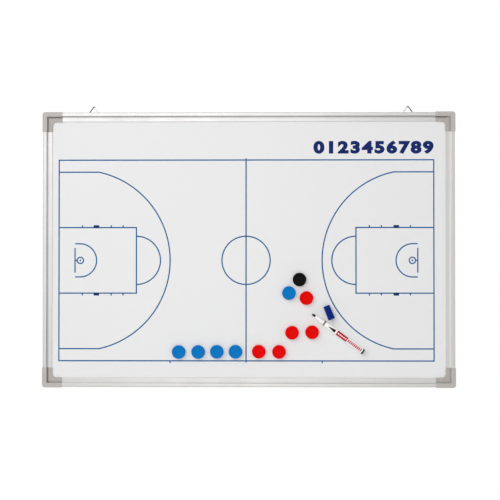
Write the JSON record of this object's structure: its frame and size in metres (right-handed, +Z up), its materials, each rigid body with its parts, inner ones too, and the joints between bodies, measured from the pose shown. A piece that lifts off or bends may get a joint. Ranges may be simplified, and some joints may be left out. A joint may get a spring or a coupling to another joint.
{
  "type": "tactics board",
  "caption": "Wall-hung magnetic tactics board: white lacquered steel face in an aluminium frame with grey corner caps, wire hanger loops, round colour magnets and a marker with its cap.",
  "frame": {"origin": "on the board's vertical centre line, level with the inner apexes of the two hanger rings, where wall hooks carry the board", "axes": "+X along the board's width to the right as seen from the front, +Y from the writing face to the back, +Z up"},
  "size_m": [0.9024, 0.0316, 0.6163],
  "materials": {
    "face_lacquer": "smooth white lacquer, semi-gloss",
    "fibreboard": "raw fibreboard",
    "galvanised_steel": "galvanised sheet",
    "anodised_rail": "satin natural anodised extrusion",
    "corner_abs": "moulded grey, fine texture",
    "zinc_steel": "zinc plated",
    "wire_steel": "drawn bright wire",
    "magnet_red": "moulded, satin gloss",
    "magnet_blue": "moulded, satin gloss",
    "magnet_black": "moulded, satin gloss",
    "ferrite": "sintered grey-black",
    "marker_white": "moulded gloss",
    "marker_navy": "moulded satin",
    "felt_nib": "pressed felt, inked",
    "ink_fibre": "fibre bundle"
  },
  "bodies": {
    "board": {"face_sheet": "face_lacquer", "core": "fibreboard", "rear_sheet": "galvanised_steel", "rail_top": "anodised_rail", "rail_bottom": "anodised_rail", "rail_left": "anodised_rail", "rail_right": "anodised_rail", "corner_cap_top_left": "corner_abs", "corner_cap_top_right": "corner_abs", "corner_cap_bottom_left": "corner_abs", "corner_cap_bottom_right": "corner_abs", "corner_screws": "zinc_steel", "hanger_strap_left": "zinc_steel", "hanger_strap_right": "zinc_steel", "hanger_screws": "zinc_steel"},
    "hanger_left": {"hanger_ring_left": "wire_steel"},
    "hanger_right": {"hanger_ring_right": "wire_steel"},
    "magnet_black": {"magnet_black_cap": "magnet_black", "magnet_black_ferrite": "ferrite"},
    "magnet_blue_1": {"magnet_blue_1_cap": "magnet_blue", "magnet_blue_1_ferrite": "ferrite"},
    "magnet_blue_2": {"magnet_blue_2_cap": "magnet_blue", "magnet_blue_2_ferrite": "ferrite"},
    "magnet_blue_3": {"magnet_blue_3_cap": "magnet_blue", "magnet_blue_3_ferrite": "ferrite"},
    "magnet_blue_4": {"magnet_blue_4_cap": "magnet_blue", "magnet_blue_4_ferrite": "ferrite"},
    "magnet_blue_5": {"magnet_blue_5_cap": "magnet_blue", "magnet_blue_5_ferrite": "ferrite"},
    "magnet_red_1": {"magnet_red_1_cap": "magnet_red", "magnet_red_1_ferrite": "ferrite"},
    "magnet_red_2": {"magnet_red_2_cap": "magnet_red", "magnet_red_2_ferrite": "ferrite"},
    "magnet_red_3": {"magnet_red_3_cap": "magnet_red", "magnet_red_3_ferrite": "ferrite"},
    "magnet_red_4": {"magnet_red_4_cap": "magnet_red", "magnet_red_4_ferrite": "ferrite"},
    "magnet_red_5": {"magnet_red_5_cap": "magnet_red", "magnet_red_5_ferrite": "ferrite"},
    "marker": {"marker_nib": "felt_nib", "marker_nose": "marker_white", "marker_barrel": "marker_white", "marker_end_plug": "marker_navy", "marker_reservoir": "ink_fibre"},
    "marker_cap": {"marker_cap": "marker_navy"}
  },
  "joints": [
    {"name": "hanger_left_swing", "type": "hinge", "parent": "board", "child": "hanger_left", "pos_m": [-0.33984, 0.00241, -0.01881], "axis": [-1, 0, 0], "range_deg": [0, 180]},
    {"name": "hanger_right_swing", "type": "hinge", "parent": "board", "child": "hanger_right", "pos_m": [0.34902, 0.00241, -0.01881], "axis": [-1, 0, 0], "range_deg": [0, 180]},
    {"name": "magnet_black_slide", "type": "slide", "parent": "board", "child": "magnet_black", "axis": [-0.6, 0, 0.8], "range_m": [-0.01, 0.41]},
    {"name": "magnet_blue_1_slide", "type": "slide", "parent": "board", "child": "magnet_blue_1", "axis": [-0.6, 0, 0.8], "range_m": [-0.01, 0.446]},
    {"name": "magnet_blue_2_slide", "type": "slide", "parent": "board", "child": "magnet_blue_2", "axis": [-0.6, 0, 0.8], "range_m": [-0.048, 0.433]},
    {"name": "magnet_blue_3_slide", "type": "slide", "parent": "board", "child": "magnet_blue_3", "axis": [-0.6, 0, 0.8], "range_m": [-0.048, 0.504]},
    {"name": "magnet_blue_4_slide", "type": "slide", "parent": "board", "child": "magnet_blue_4", "axis": [-0.6, 0, 0.8], "range_m": [-0.049, 0.572]},
    {"name": "magnet_blue_5_slide", "type": "slide", "parent": "board", "child": "magnet_blue_5", "axis": [-0.6, 0, 0.8], "range_m": [-0.049, 0.607]},
    {"name": "magnet_red_1_slide", "type": "slide", "parent": "board", "child": "magnet_red_1", "axis": [0.9, 0, 0.4359], "range_m": [0, 0.317]},
    {"name": "magnet_red_2_slide", "type": "slide", "parent": "board", "child": "magnet_red_2", "axis": [-0.6, 0, 0.8], "range_m": [-0.101, 0.555]},
    {"name": "magnet_red_3_slide", "type": "slide", "parent": "board", "child": "magnet_red_3", "axis": [0.8028, 0, -0.5962], "range_m": [-0.01, 0.137]},
    {"name": "magnet_red_4_slide", "type": "slide", "parent": "board", "child": "magnet_red_4", "axis": [-0.6, 0, 0.8], "range_m": [-0.049, 0.606]},
    {"name": "magnet_red_5_slide", "type": "slide", "parent": "board", "child": "magnet_red_5", "axis": [-0.6, 0, 0.8], "range_m": [-0.048, 0.607]},
    {"name": "marker_lift", "type": "slide", "parent": "board", "child": "marker", "axis": [0, -1, 0], "range_m": [0, 0.08]},
    {"name": "marker_cap_lift", "type": "slide", "parent": "board", "child": "marker_cap", "axis": [0, -1, 0], "range_m": [0, 0.08]}
  ]
}
